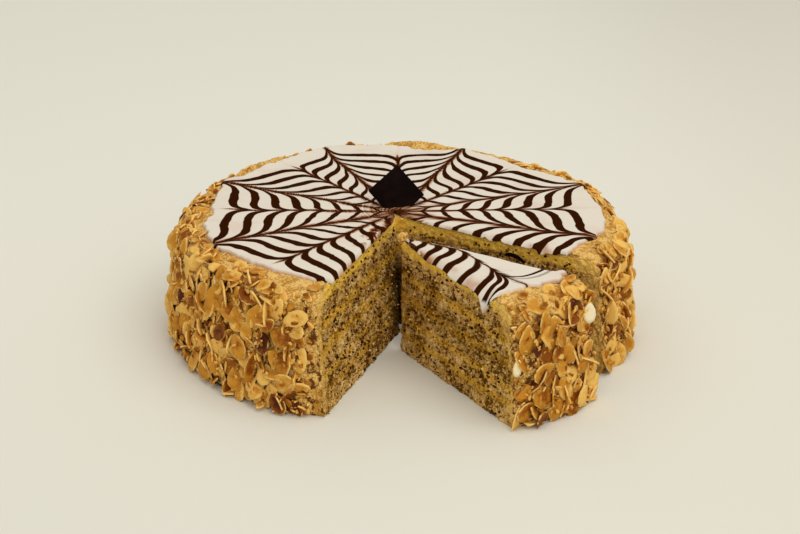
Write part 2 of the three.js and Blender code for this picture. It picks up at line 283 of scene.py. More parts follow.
# a material's nodes, with its place on the piece in millimetres
class Graph:
    def __init__(self, name):
        self.material = bpy.data.materials.new(name)
        self.material.use_nodes = True
        self.tree = self.material.node_tree
        self.tree.nodes.clear()
        spot = self.add("ShaderNodeTexCoord", output="Object")
        self.place = self.add("ShaderNodeVectorMath", {"operation": "SCALE"},
                              {0: spot, "Scale": 1000.0})

    def add(self, kind, settings=None, inputs=None, output=0):
        node = self.tree.nodes.new(kind)
        for key, value in (settings or {}).items():
            setattr(node, key, value)
        for key, value in (inputs or {}).items():
            if isinstance(value, Wire):
                self.tree.links.new(value.socket, node.inputs[key])
            else:
                node.inputs[key].default_value = value
        return Wire(self, node.outputs[output]) if node.outputs else None

    def axes(self, vector):
        return [self.add("ShaderNodeSeparateXYZ", {}, {0: vector}, i) for i in range(3)]

    def vector(self, x, y, z):
        return self.add("ShaderNodeCombineXYZ", {}, {0: x, 1: y, 2: z})

    def noise(self, scale, detail=2.0, rough=0.5, where=None):
        return self.add("ShaderNodeTexNoise", {}, {"Vector": where or self.place, "Scale": scale,
                                                  "Detail": detail, "Roughness": rough})

    def cells(self, scale, output="Distance"):
        return self.add("ShaderNodeTexVoronoi", {}, {"Vector": self.place, "Scale": scale}, output)

    def attribute(self, name):
        return self.add("ShaderNodeAttribute", {"attribute_name": name}, {}, "Fac")

    def step(self, value, low, high):
        return self.add("ShaderNodeMapRange", {"interpolation_type": "SMOOTHSTEP"},
                        {"Value": value, "From Min": low, "From Max": high})

    def mix(self, factor, a, b):
        return self.add("ShaderNodeMix", {"data_type": "RGBA"}, {0: factor, 6: a, 7: b}, 2)

    def curve(self, value, pairs):
        # straight lines between pairs (where, value)
        (x0, _), (x1, _) = pairs[0], pairs[-1]
        y0, y1 = min(y for _, y in pairs), max(y for _, y in pairs)
        made = self.add("ShaderNodeFloatCurve", {}, {"Value": (value - x0) / (x1 - x0)})
        mapping = made.socket.node.mapping
        points = mapping.curves[0].points
        spots = [((x - x0) / (x1 - x0), (y - y0) / (y1 - y0)) for x, y in pairs]
        points[0].location, points[-1].location = spots[0], spots[-1]
        for spot in spots[1:-1]:
            points.new(*spot)
        for point in points:
            point.handle_type = "VECTOR"
        mapping.update()
        return made * (y1 - y0) + y0

    def bump(self, height, distance):
        return self.add("ShaderNodeBump", {}, {"Height": height, "Distance": distance})

    def finish(self, colour, roughness, normal, specular=0.5):
        inputs = {"Base Color": colour, "Roughness": roughness, "Normal": normal,
                  "Specular IOR Level": specular}
        shader = self.add("ShaderNodeBsdfPrincipled", {}, inputs)
        self.add("ShaderNodeOutputMaterial", {}, {"Surface": shader})
        return self.material


def tone(r, g, b):
    # sRGB 0..255 as the linear colour that a shader takes
    return tuple(((c / 255 + 0.055) / 1.055) ** 2.4 for c in (r, g, b)) + (1.0,)


print("stage 1: frame and helpers ready")

# white icing, feathered with chocolate, as radii and widths about the middle of the pattern
feather = {
    "white": tone(224, 215, 199),
    "blush": tone(212, 184, 166),
    "grey": tone(184, 176, 162),
    "chocolate": tone(50, 21, 2),
    "streak": tone(66, 26, 9),
    "tan": tone(160, 106, 66),
    "rim": tone(192, 142, 106),
    "middle": (-4.5, 1.5),
    # azimuths of the drawn spokes: the odd ones pull the rings inwards, the even ones outwards
    "spokes": [(-70, -2), (-47.6, -1), (-18.1, 0), (4.6, 1), (22.7, 2), (46.9, 3), (69.1, 4),
               (89, 5), (113, 6), (129.7, 7), (155, 8), (178, 9), (205.8, 10), (229.9, 11),
               (256, 12), (290, 13)],
    "spokeStep": 22.5,
    "outerRing": 96.5, "ringStep": 11.9, "lineHalf": 2.5,
    # the rings have their full width, pull and swing from here outwards
    "fullFrom": 70,
    "pullOut": 18, "pullIn": 13, "swing": 2.2,
    "waver": 5,
    # how much narrower the lines are near the middle
    "taper": 0.45,
    "core": 2.6,
    "streakIn": 1.0, "streakOut": 1.0,
    # where the knife dragged chocolate along the cut edge: azimuths and distances
    "smear": [(236, 246), (66, 30)],
    "blushShare": 0.42, "stainShare": 0.7,
}


def featherMaterial(name, own):
    f = {**feather, **own}
    g = Graph(name)
    x, y, _ = g.axes(g.place)
    broad, fine = g.noise(0.018, 1.0) - 0.5, g.noise(0.045, 1.0) - 0.5
    x = x - f["middle"][0] + (broad + fine * 0.5) * f["waver"]
    y = y - f["middle"][1] + (fine - broad * 0.6) * f["waver"]
    r = (x * x + y * y).maths("SQRT")
    azimuth = (y.maths("ARCTAN2", x) * math.degrees(1) + 70).maths("FLOORED_MODULO", 360) - 70
    turned = azimuth
    if "bends" in f:
        azimuth = azimuth - g.curve(r.maths("MINIMUM", 120), f["bends"])
    # place between the spokes: distance from the nearest outward and the nearest inward one
    t = g.curve(azimuth, f["spokes"])
    odd = t.maths("PINGPONG", 1.0)
    stretch = r * math.radians(f["spokeStep"])
    fromOut, fromIn = odd * stretch, (1 - odd) * stretch
    # how far each spoke drags the rings
    near = (r / f["fullFrom"]).maths("MINIMUM", 1).maths("MAXIMUM", 0.25)
    vary = g.noise(1.0, 0.0, where=g.vector((t + 0.5).maths("FLOOR") * 7.3, 0.0, r / 60)) - 0.5
    pull = near * (1 + vary * 0.7)
    wideOut, wideIn = (near * 2.8 + 0.7) * (1 + vary * 1.2), near * 1.9 + 0.6
    outwards = (-fromOut / wideOut).maths("EXPONENT")
    inwards = (-fromIn / wideIn).maths("EXPONENT")
    slope = (outwards / wideOut * f["pullOut"] + inwards / wideIn * f["pullIn"]) * near
    swing = (t * math.pi).maths("COSINE") * near * f["swing"]
    u = r - x / r * 3 - outwards * pull * f["pullOut"] + inwards * pull * f["pullIn"] - swing
    u = u + (g.noise(0.12, 1.0) - 0.5) * 1.6
    # chocolate lines, thinner where they run along a spoke
    if "rings" in f:
        phase = g.curve(u.maths("MINIMUM", 130), f["rings"])
        lineHalf = g.curve(u.maths("MINIMUM", 130), f["halves"])
    else:
        phase = (f["outerRing"] - u) / f["ringStep"]
        lineHalf = f["lineHalf"]
    off = phase.maths("PINGPONG", 0.5) * f["ringStep"]
    closeness = (-fromOut.maths("MINIMUM", fromIn) / 2.2).maths("EXPONENT")
    thin = (slope * slope + 1).maths("SQRT").maths("SQRT").maths("MINIMUM", 2.2)
    uneven = 1 + (g.noise(0.09, 1.0) - 0.5) * 0.5
    half = thin * uneven * (1 - closeness * 0.35 - outwards * 0.4)
    half = half * (near * f["taper"] + 1 - f["taper"]) * lineHalf
    soft = thin * (closeness * 0.4 + 0.22)
    line = 1 - g.step(off, half - soft, half + soft)
    line = line * g.step(phase, -0.5, -0.42)
    if "flap" in f:
        # right of the spoke only two lines are drawn, the outer one faint
        line = line * g.step(azimuth, -41.5, -43.5)
        for where, strength in f["flap"]:
            off = (r - where + (-fromIn / 6).maths("EXPONENT") * 13).maths("ABSOLUTE")
            line = line + g.step(off, 1.1, 0.6) * g.step(azimuth, -43.5, -41.5) * strength
    # brown streaks drawn along the spokes
    inner = 1 - (r / 60).maths("MINIMUM", 1)
    hairs = g.noise(1.0, 2.0, 0.6, where=g.vector(azimuth * r * 0.016, 0.0, r * 0.02))
    hairs = g.step(hairs, 0.36, 0.62)
    alongOut = (-fromOut / (inner * 0.5 + 1.5)).maths("EXPONENT")
    alongOut = alongOut * g.step(r, 126, 116) * f["streakOut"]
    reachIn = (inner * 0.6 + 1.0) * f["streakIn"]
    alongIn = (-fromIn / reachIn).maths("EXPONENT") * (g.step(r, 100, 86) * 0.85 + 0.15)
    outer = g.step(r, 4, 24) * 0.55 + 0.45
    streaks = ((alongOut + alongIn) * (0.75 + hairs * 0.9) * outer).maths("MINIMUM", 0.96)
    # chocolate dragged along the cut edge by the knife
    (side0, side1), (far, close) = f["smear"]
    dragged = g.step(turned, side0, side1) * g.step(r, far, close)
    dragged = dragged * g.step(g.noise(0.16, 2.0), 0.38, 0.6)
    core = (-r / f["core"]).maths("EXPONENT") * (0.5 + hairs * 0.9)
    # the white is rosy in patches and beside the spokes, with a few grey spots
    blush = g.step(g.noise(0.05, 3.0), 0.5, 0.76) * f["blushShare"]
    blush = blush + g.step(closeness, 0.35, 0.9) * 0.2
    white = g.mix(blush, f["white"], f["blush"])
    spots = g.step(g.cells(0.11), 0.16, 0.05) * g.step(g.noise(0.3, 2.0), 0.5, 0.62)
    white = g.mix(spots * 0.5, white, f["grey"])
    streaks = streaks.maths("MAXIMUM", core).maths("MAXIMUM", dragged * 0.85)
    colour = g.mix(g.step(streaks, 0.15, 0.5), white, f["tan"])
    colour = g.mix(g.step(streaks, 0.4, 0.7), colour, f["streak"])
    # the lines end below the border, which is stained brown in patches
    border = g.attribute("edge")
    line = line * g.step(border, 1.85, 1.65)
    colour = g.mix(line, colour, f["chocolate"])
    stained = g.step(border, 0.94, 1.2) * g.step(g.noise(0.07, 2.0), 0.42, 0.6)
    colour = g.mix(stained * (1 - line) * f["stainShare"], colour, f["rim"])
    normal = g.bump(g.noise(0.5, 3.0), 0.00012)
    return g.finish(colour, 0.6 - line * 0.1, normal, 0.0)


# edge of the icing and what lies under it
edgeProfile = {
    "round": 1.3, "overhang": 1.7, "lip": 2.2, "sheet": 2.5,
    "slope": 2.4, "ease": 0.65,
    "startIn": 3.5,  # from the point to the middle of the fan
    "slump": 0.07,
    "sweep": 30,
    "ringSteps": 80,
    "creamBack": 1.4, "coatBelow": 2.4,
}


# how far the sheet hangs below its top at a cut face, and how far back its slope begins
def hanging(piece, cut, s):
    depth = along(piece["hangs"][cut], s)
    slope = edgeProfile["round"] + edgeProfile["slope"] * (min(depth, 5) - 2 if depth > 2 else 0)
    return depth * ramp(0, 4, s), min(slope, 0.3 * s) if s > 0 else 0


# share of the drop at a share of the way down the sloping edge of the sheet
def slopeDrop(t):
    return between(1 - math.sqrt(max(0, 1 - t * t)), t ** 1.7, edgeProfile["ease"])


# stations over an edge: share of the way out, of the way down and of the tuck below
edgeTurns = [math.sin(math.radians(90 * i / 9)) for i in range(10)]
edgeTuck = [(0, 1, 0.5), (0, 1, 1)]
edgeStations = [(t - 1, slopeDrop(t), 0) for t in edgeTurns] + edgeTuck
rimStations = [(t - 1, 1 - math.sqrt(max(0, 1 - t * t)), 0) for t in edgeTurns] + edgeTuck


# a fan from just inside the point to the border, with an edge over both cut faces and the rim
def icing(piece, material):
    e = edgeProfile
    columns = [(0, s) for s in reversed(edgeStations)]
    n = piece["icingSteps"]
    columns += [(None, i / n) for i in range(1, n)]
    columns += [(1, s) for s in edgeStations]
    m = e["ringSteps"]
    rows = [(i / m, None) for i in range(m + 1)] + [(1, s) for s in rimStations[1:]]
    start = piece["apex"] + heading(sum(piece["cuts"]) / 2) * e["startIn"]
    span = piece["cuts"][1] - piece["cuts"][0]
    stepIn = e["startIn"] * math.sin(math.radians(span / 2))
    stepAhead = e["startIn"] * math.cos(math.radians(span / 2))
    sweep = min(e["sweep"], span / 2)
    rims = {}

    def rimAt(azimuth):
        if azimuth not in rims:
            full = reach(piece, start, azimuth, lambda a: along(piece["icing"], a))
            at = start + heading(azimuth) * full
            rims[azimuth] = full + 1.6 * noise.noise(at * 0.16) + 0.8 * noise.noise(at * 0.45)
        return rims[azimuth]

    def place(column, row):
        side, where = column
        share, rim = row
        azimuth = piece["cuts"][side] if side is not None else between(*piece["cuts"], where)
        full = rimAt(azimuth)
        r = full * share - e["round"] * ramp(0.8, 1, share)
        at = start + heading(azimuth) * r
        past = (at - piece["centre"]).length - wallRadius(piece, azimuthOf(piece, at), -11)
        rise = along(piece["rimRise"], azimuthOf(piece, at)) if at != start else 0
        slump = e["slump"] * max(0, past) ** 1.45 * ramp(3.5, 1, rise)
        out = e["overhang"] + stepIn * ramp(0, 16, r)
        depth = 0
        for cut in (0, 1):
            off = abs(piece["cuts"][cut] - azimuth)
            if off < sweep and side in (cut, None):
                deep, slope = hanging(piece, cut, r + stepAhead)
                tuck = 0
                if side is not None:
                    o, depth, tuck = where
                    deep += 0.7 * noise.noise(at * 0.3) * ramp(6, 12, r)
                    depth *= max(0.8, deep) * ramp(0, 4, r)
                    slope *= -o
                    tuck *= e["lip"]
                wave = 0.3 * noise.noise(at * 0.35)
                back = slope + tuck + cut * along(piece["short"], r)
                aside = (out + wave) * ramp(0, 6, r) - back
                at += faceNormal(piece, cut) * aside * (1 - off / sweep)
        drops = [depth]
        if rim is not None:
            o, down, tuck = rim
            at += heading(azimuth) * (o * e["round"] + e["round"] - tuck * e["lip"])
            drops.append(down * (e["sheet"] + 0.4 * slump + 0.6 * noise.noise(at * 0.2)))
        drop = sum(d ** 4 for d in drops) ** 0.25
        height = 0.22 * noise.noise(at * 0.06) + 0.1 * noise.noise(at * 0.25)
        height += 0.3 * rise * ramp(-6, 6, past)
        at.z = stack["icingTop"] + height - slump - drop
        # the edge attribute goes from 0 well inside to 1 at the border, and on with the drop
        turns = [min(90, abs(c - azimuth)) for c in piece["cuts"]]
        inside = min(full * (1 - share), *(r * abs(math.sin(math.radians(a))) for a in turns))
        return at, 1 - min(1, inside / 8) if drop == 0 else 1 + 0.1 * drop

    bm = bmesh.new()
    skin(bm, columns, rows, place, flatFill=False)
    name = piece["name"]
    return finished(newObject(name + "Icing", bm), material, "icing", name + "_icing")


# the slice's own pattern about its point: one spoke that bends, and rings read one by one
sliceFeather = {
    "middle": (-1.2, -35.6),
    "spokes": [(-80, 0.1), (-44.4, 1), (-20, 1.9), (290, 2)],
    "bends": [(0, 18), (9, 17.7), (18, 13), (25, 16), (34, 15), (54, 4), (67, 0.5), (120, 0)],
    "rings": [(0, -0.7), (5, 0), (13.4, 1), (23, 2), (31.8, 3), (42.5, 4), (56.4, 5), (72.2, 6),
              (77, 7), (82, 8), (84, 8.45), (130, 8.49)],
    "halves": [(0, 2.0), (13.4, 2.3), (23, 2.5), (31.8, 2.6), (42.5, 1.9), (56.4, 1.55),
               (72.2, 1.7), (77, 3.4), (82, 2.8), (130, 2.8)],
    "ringStep": 9.5, "pullOut": 0, "taper": 0.0, "core": 1.5,
    "smear": [(-55, -61), (38, 26)],
    # distance and strength of the two lines beyond the spoke
    "flap": [(84, 1.0), (87.5, 0.5)],
    "streakIn": 0.4, "streakOut": 0.0,
}
icing(cake, featherMaterial("featheredIcing", {}))
icing(wedge, featherMaterial("featheredSliceIcing", sliceFeather))
print("stage 2: icing")

# how rough the cut faces of sponge, nut cream and coat are
crumbling = {"coarse": 0.7, "medium": 1.0, "fine": 0.8, "pits": 1.1}


# how far a cut face stands out at a place
def crumble(at):
    c = crumbling
    pits = ramp(0.34, 0.08, noise.voronoi(at * 0.42)[0][0])
    return (c["coarse"] * noise.noise(at * 0.13) + c["medium"] * noise.noise(at * 0.42)
            + c["fine"] * noise.noise(at * 1.1) - c["pits"] * pits)


# how far the cream of the wall stands out at a place
def lumps(at):
    return 0.9 * noise.noise(at * 0.07) + 0.8 * noise.noise(at * 0.2) + 0.7 * noise.noise(at * 0.5)


# how far a cut face steps back under the sloping edge of the icing
def stepBack(piece, cut, s, z):
    depth, slope = hanging(piece, cut, s)
    under = (stack["icingTop"] - z) / max(depth, 0.1)
    if under >= 1:
        return 0
    back = slope * (1 - under) ** 0.8 - edgeProfile["overhang"] + edgeProfile["creamBack"]
    return max(0, back) * ramp(0, 10, s)


# highest the coat may stand under the icing that slopes down to a cut face
def underside(piece, at):
    e = edgeProfile
    top = math.inf
    for cut in (0, 1):
        s = (at - piece["apex"]).dot(heading(piece["cuts"][cut]))
        off = e["overhang"] - (at - piece["apex"]).dot(faceNormal(piece, cut))
        depth, slope = hanging(piece, cut, s)
        if s > 60 and off < slope:
            drop = depth * slopeDrop(1 - max(0, off) / slope)
            top = min(top, stack["icingTop"] - drop - e["coatBelow"])
    return top


# the second cut face leans out towards its foot
def leanOut(piece, cut, z):
    return faceNormal(piece, cut) * (cut * along(piece["flare"], z))


# distance from the point to the wall along a cut face
def wallReach(piece, azimuth, out):
    return reach(piece, piece["apex"], azimuth, lambda a: wallRadius(piece, a, out))


# a place on a cut face, a share f of the way from its inner to its outer end
def facePoint(piece, cut, f, z, inner, outer, inset):
    azimuth = piece["cuts"][cut]
    high = wallReach(piece, azimuth, outer)
    low = 0 if inner is None else wallReach(piece, azimuth, inner)
    s = between(low, high, f)
    at = piece["apex"] + heading(azimuth) * s + leanOut(piece, cut, z) * ramp(0, 12, s)
    at.z = z
    back = -heading(sum(piece["cuts"]) / 2)
    away = back.lerp(faceNormal(piece, cut), ramp(0, 3, s))
    inset = inset * ramp(0, 12, s) + stepBack(piece, cut, s, z)
    return at + away * crumble(at) - faceNormal(piece, cut) * inset


# a place on the wall, a share f of the way round from the first cut face to the second
def wallPoint(piece, f, z, out, lumpy):
    ends = []
    for cut in (0, 1):
        azimuth = piece["cuts"][cut]
        far = piece["apex"] + heading(azimuth) * wallReach(piece, azimuth, out)
        ends.append(azimuthOf(piece, far + leanOut(piece, cut, z)))
    azimuth = between(*ends, f)
    at = piece["centre"] + heading(azimuth) * wallRadius(piece, azimuth, out)
    at.z = z
    if lumpy:
        at += heading(azimuth) * lumps(at) * ramp(0, 0.02, f) * ramp(1, 0.98, f)
        if out > -16:
            rough = 0.8 * noise.noise(at * 0.25) + 0.5 * noise.noise(at * 0.7)
            at.z += (along(piece["rimRise"], azimuth) * ramp(54, 61, z) * ramp(-9.5, -4.5, out)
                     + rough * ramp(58, 62, z))
    return at


shellShare = 0.14  # of a face's steps, for the thin ends of the side cream
coreSteps = 30


# plan path round a block: out along one cut face, round the wall, back along the other
def blockPath(piece, arcSteps, hollow=False):
    n = piece["faceSteps"]
    n = round(n * shellShare) if hollow else n
    path = [("face", 0, i / n) for i in range(n + 1)]
    path += [("wall", None, i / arcSteps) for i in range(1, arcSteps)]
    path += [("face", 1, 1 - i / n) for i in range(n + 1)]
    if hollow:
        path += [("core", None, 1 - i / coreSteps) for i in range(1, coreSteps)] + path[:1]
    return path


# rows: height, outer and inner reach beyond the wall, step back of the cut faces
def block(bm, piece, path, rows, lumpy):
    def place(station, row):
        kind, cut, f = station
        z, outer, inner, inset = row
        if kind == "face":
            return facePoint(piece, cut, f, z, inner, outer, inset), 0
        if kind == "core":
            return wallPoint(piece, f, z, inner, False), 0
        at = wallPoint(piece, f, z, outer, lumpy)
        if lumpy and z > 61:
            at.z = min(at.z, underside(piece, at))
        return at, 0
    skin(bm, path, rows, place)


def coreOut(z):
    return along(stack["coreOut"], z, False)


def wallOut(z):
    return along(stack["wallOut"], z, False)


def heights(low, high, step):
    n = max(2, round((high - low) / step))
    return [between(low, high, i / n) for i in range(n + 1)]


coatLook = {
    "cream": tone(244, 200, 116),
    "deep": tone(192, 136, 50),
    "speck": tone(90, 48, 8),
    # painted shade for the gaps between the almonds
    "creviceShade": tone(92, 48, 6),
    # height and reach beyond the wall of the coat's shoulder, and its step back at the cut faces
    "shoulder": [(63.3, -9, 0.8), (63.8, -12, 1.2), (64.6, -17, 2), (64.6, -24, 8)],
}

crumbLook = {
    "sponge": tone(218, 172, 94),
    "spongeDark": tone(108, 67, 8),
    "speck": tone(42, 19, 2),
    "pale": tone(248, 214, 148),
    "cream": tone(228, 172, 36),
    "creamDark": tone(152, 100, 2),
    # top cream band: its own ochre, lifted with painted light where the icing and the slice shade
    # it
    "top": tone(255, 208, 84),
    "speckShare": 0.82,
    "paleShare": 0.64,
    # how thick the side cream is on a cut face, by height
    "coatGrows": [(0, 3.5), (30, 4.5), (48, 10), (62, 18)],
    # how much darker the crumb is by height
    "dark": [(0, 0.2), (5, 0.2), (9, 0.5), (14, 0.2), (16, 0), (23, 0), (28, 0.8), (40, 0.8),
             (43, 0.1), (46, 0.1), (49, 0.7), (52, 0.7), (54.5, 0), (60, 0)],
}


# crumb of a cut face: sponge and nut cream by height, coat cream along the wall
def cutMaterial(piece):
    g = Graph(piece["name"] + "Cut")
    look = crumbLook
    x, y, z = g.axes(g.place)
    level = z + (g.noise(0.06, 2.0) - 0.5) * 5.0 + (g.noise(0.3, 3.0, 0.7) - 0.5) * 6.5
    bands = [(-10, 0)]
    for low, high in stack["fillings"] + [(stack["layersTop"] + piece["creamAbove"], 90)]:
        bands += [(low, 0), (low + 1.5, 1), (high - 1.5, 1), (high, 0)]
    outX, outY = x - piece["centre"].x, y - piece["centre"].y
    wander = (g.noise(0.2, 2.0) - 0.5) * 6
    coated = (outX * outX + outY * outY).maths("SQRT") + g.curve(z, look["coatGrows"]) + wander
    coated = g.step(coated, piece["coatFrom"] - 1, piece["coatFrom"] + 1.5)
    cream = g.curve(level, bands[:-1]) * g.step(g.noise(0.05, 2.0), 0.25, 0.45)
    cream = cream.maths("MAXIMUM", coated)
    # mottled in patches, blotches and grains
    patch, blotch, grain = g.noise(0.09, 2.0), g.noise(0.34, 3.0, 0.7), g.noise(0.85, 2.0, 0.7)
    shade = patch * 0.36 + blotch * 0.4 + grain * 0.24
    sponge = g.mix(g.step(shade, 0.42, 0.52), look["spongeDark"], look["sponge"])
    sponge = g.mix(g.step(shade, 0.54, 0.61), sponge, look["pale"])
    creamy = g.mix(g.step(shade, 0.38, 0.53), look["creamDark"], look["cream"])
    # the top cream band, its own colour lightened with painted light
    creamy = g.mix(g.step(level, 55, 59), creamy, look["top"])
    creamy = g.mix(coated * 0.6, creamy, coatLook["cream"])
    colour = g.mix(cream * (g.step(level, 54, 58) * 0.3 + 0.65), sponge, creamy)
    darker = g.curve(level, look["dark"]) * (1 - coated) * piece["gloom"]
    colour = g.mix(darker, colour, look["spongeDark"])
    pale = g.step(g.cells(0.5), 0.34, 0.22) * g.step(g.noise(0.36, 1.0), 0.5, 0.58)
    colour = g.mix(pale * (look["paleShare"] - cream * 0.26), colour, look["pale"])
    # dark specks of nut skin in three sizes, fewer in the cream
    shifted = g.add("ShaderNodeVectorMath", {"operation": "ADD"}, {0: g.place, 1: (31, 7, 57)})
    specks = g.step(g.noise(0.62, 2.0, 0.75, shifted), 0.56, 0.61)
    specks = specks * g.step(g.noise(0.2, 1.0), 0.42, 0.52)
    big = g.step(g.cells(0.27), 0.3, 0.16) * g.step(g.noise(0.2, 1.0), 0.52, 0.58)
    small = g.step(g.cells(0.9), 0.36, 0.22) * g.step(g.noise(0.4, 1.0), 0.5, 0.57)
    few = (1 - g.step(level, 55, 58) * 0.5) * (1 - coated * 0.4)
    specks = (specks + big + small).maths("MINIMUM", 1) * (look["speckShare"] - cream * 0.36)
    colour = g.mix(specks * few, colour, look["speck"])
    if piece["paintedCornerShade"]:
        # painted shade, dark where the two cut faces meet low down
        inX, inY = x - piece["apex"].x, y - piece["apex"].y
        deep = g.step((inX * inX + inY * inY).maths("SQRT"), 25, 11) * g.step(z, 44, 33)
        colour = g.mix(deep * 0.85, colour, look["speck"])
    normal = g.bump(blotch + grain * 0.6, 0.0014)
    return g.finish(colour, 0.9 - cream * 0.2, normal, 0.03)


def coatMaterial():
    g = Graph("speckledCoat")
    look = coatLook
    z = g.axes(g.place)[2]
    blotch, grain = g.noise(0.2, 3.0), g.noise(0.8, 3.0, 0.65)
    colour = g.mix(g.step(blotch * 0.45 + grain * 0.55, 0.4, 0.58), look["deep"], look["cream"])
    # painted shade in the gaps between the almonds, below the shoulder
    creviceShade = g.step(g.noise(0.28, 3.0, 0.7), 0.52, 0.42)
    colour = g.mix(g.step(z, 60, 52) * creviceShade * 0.95, colour, look["creviceShade"])
    specks = g.step(g.cells(0.6), 0.26, 0.14) * g.step(g.noise(0.3, 1.0), 0.48, 0.56)
    colour = g.mix(specks * 0.85, colour, look["speck"])
    return g.finish(colour, 0.7, g.bump(blotch * 0.5 + grain, 0.0012), 0.12)


coatCream = coatMaterial()
for piece in (cake, wedge):
    name = piece["name"]
    cutFace = cutMaterial(piece)
    path = blockPath(piece, piece["layerArcSteps"])
    for kind, slot in (("sponges", "sponge"), ("fillings", "filling")):
        for i, (low, high) in enumerate(stack[kind], 1):
            bm = bmesh.new()
            rows = [(z, coreOut(z), None, 0) for z in heights(low, high, 0.8)]
            block(bm, piece, path, rows, False)
            layer = newObject(f"{name}{slot.capitalize()}{i}", bm)
            finished(layer, cutFace, slot, f"{name}_{slot}_{i}")
    # side cream round the layers, then the top cream above them
    bm = bmesh.new()
    top = stack["layersTop"]
    rows = [(z, wallOut(z), coreOut(z), 0) for z in heights(0, top, 0.9)]
    block(bm, piece, blockPath(piece, piece["arcSteps"], True), rows, True)
    rows = [(z, wallOut(z), None, 0.6 * ramp(61.5, 63.5, z)) for z in heights(top, 62.8, 0.7)]
    rows += [(z, out, None, inset) for z, out, inset in coatLook["shoulder"]]
    block(bm, piece, blockPath(piece, piece["arcSteps"]), rows, True)
    coat = finished(newObject(name + "Coat", bm), coatCream, "coat", name + "_coat")
    # the cut faces of the coat show the same crumb as the layers
    coat.data.materials.append(cutFace)
    for face in coat.data.polygons:
        centre = face.center / mm
        for cut in (0, 1):
            n = faceNormal(piece, cut)
            off = (centre - piece["apex"] - leanOut(piece, cut, centre.z)).dot(n)
            ahead = (centre - piece["apex"]).dot(heading(piece["cuts"][cut]))
            if abs(off) < 2.2 and ahead > -3 and face.normal.dot(n) > 0.5:
                face.material_index = 1


# loose crumbs of nut and sponge that cling to the cut faces
crumbLoose = {"cake": 700, "slice": 560, "size": (1.0, 2.6), "shapes": 6}


def crumbShape(rng):
    bm = bmesh.new()
    bmesh.ops.create_icosphere(bm, subdivisions=1, radius=1)
    for v in bm.verts:
        v.co *= rng.uniform(0.65, 1.15)
    return shapeOf(bm, 0, 0, [False] * len(bm.faces), [0.0] * len(bm.verts))


def crumbMaterial():
    g = Graph("looseCrumb")
    shade = g.attribute("toast") + (g.noise(0.6, 2.0) - 0.5) * 0.3
    colour = g.mix(g.step(shade, 0.15, 0.45), crumbLook["speck"], crumbLook["spongeDark"])
    colour = g.mix(g.step(shade, 0.45, 0.7), colour, crumbLook["sponge"])
    colour = g.mix(g.step(shade, 0.75, 1), colour, crumbLook["pale"])
    return g.finish(colour, 0.85, g.bump(g.noise(1.5, 2.0), 0.0003), 0.1)


def crumbs(piece, material):
    rng = random.Random(piece["seed"] + 5)
    shapes = [crumbShape(rng) for _ in range(crumbLoose["shapes"])]
    placements = []
    for cut in (0, 1):
        for _ in range(crumbLoose[piece["name"]]):
            z = rng.uniform(1, 61)
            at = facePoint(piece, cut, rng.uniform(0.04, 1), z, None, coreOut(z), 0)
            at += faceNormal(piece, cut) * rng.uniform(-0.2, 0.3)
            turn = Matrix.Rotation(rng.uniform(0, 6.3), 4, "Z")
            turn @= Matrix.Rotation(rng.uniform(0, 6.3), 4, "X")
            size = rng.uniform(*crumbLoose["size"])
            placements.append((rng.choice(shapes), (size, size * 0.8, size * 0.7),
                               Matrix.Translation(at) @ turn, rng.triangular(0, 1, 0.3)))
    return finished(joined(piece["name"] + "Crumbs", placements), material, "sponge")


looseCrumb = crumbMaterial()
crumbs(cake, looseCrumb)
crumbs(wedge, looseCrumb)

# a lump of cream left on the point of the slice
lumpLook = {"at": (0.9, 1.2, 65.6), "radius": 3.2}
bm = bmesh.new()
bmesh.ops.create_icosphere(bm, subdivisions=4, radius=lumpLook["radius"] * mm)
for v in bm.verts:
    v.co *= 1 + 0.35 * noise.noise(v.co / mm * 0.5) + 0.12 * noise.noise(v.co / mm * 1.6)
    v.co += (wedge["apex"] + Vector(lumpLook["at"])) * mm
finished(newObject("tipLump", bm), coatCream, "coat")
print("stage 3: layers, coat and crumbs")

# flaked almonds, with a tone from below 0 for ivory to above 1 for dark
almonds = {
    "length": (11, 17.5),
    "width": (0.55, 0.75),  # as shares of the length
    "thickness": 0.85,
    "lift": (0.2, 2.2),
    "spacing": 5.3,
    # middle and spread of the tone, and of the turn from level
    "toast": (0.42, 0.38),
    "spin": (90, 42),
    "wholeShare": 0.6,
    # how many for a cake with a cut of 80 degrees
    "tries": 14000,
    "bits": 2400,
    "footFlakes": 60,
    "rimFlakes": 260,
    "ivory": tone(244, 230, 190),
    "pale": tone(238, 190, 96),
    "gold": tone(202, 138, 40),
    "toasted": tone(138, 73, 8),
    "dark": tone(80, 30, 3),
    "rim": tone(248, 212, 130),
    # single flakes: azimuth, height, length, spin, tone and lean
    "singles": {
        "cake": [(221.5, 33, 13, 60, 1.0, 8), (236.5, 46, 11, 40, 0.75, 8),
                 (228, 29, 15, 115, 0.5, 8), (240, 6, 13, 130, 1.05, 8),
                 (119, 60, 15, 90, 0.8, 8), (106, 60, 18, 84, 0.9, 8), (124, 61, 13, 90, 0.5, 8),
                 (128.5, 61, 13, 90, 0.6, 8), (143, 61, 18, 88, 0.45, 8),
                 (166, 60, 14, 88, 0.5, 8), (188, 56, 15, 88, 0.35, 50)],
        "slice": [(-31.5, 49.5, 11.5, 84, -1.2, -42), (-57, 33, 9.5, 80, -1.0, 8),
                  (-50, 29, 15, 20, 0.55, 8), (-55, 10, 14, 30, 0.7, 8),
                  (-44, 45, 12, 100, 0.6, 8), (-40.5, 54, 13, 84, 0.5, 30)],
    },
}


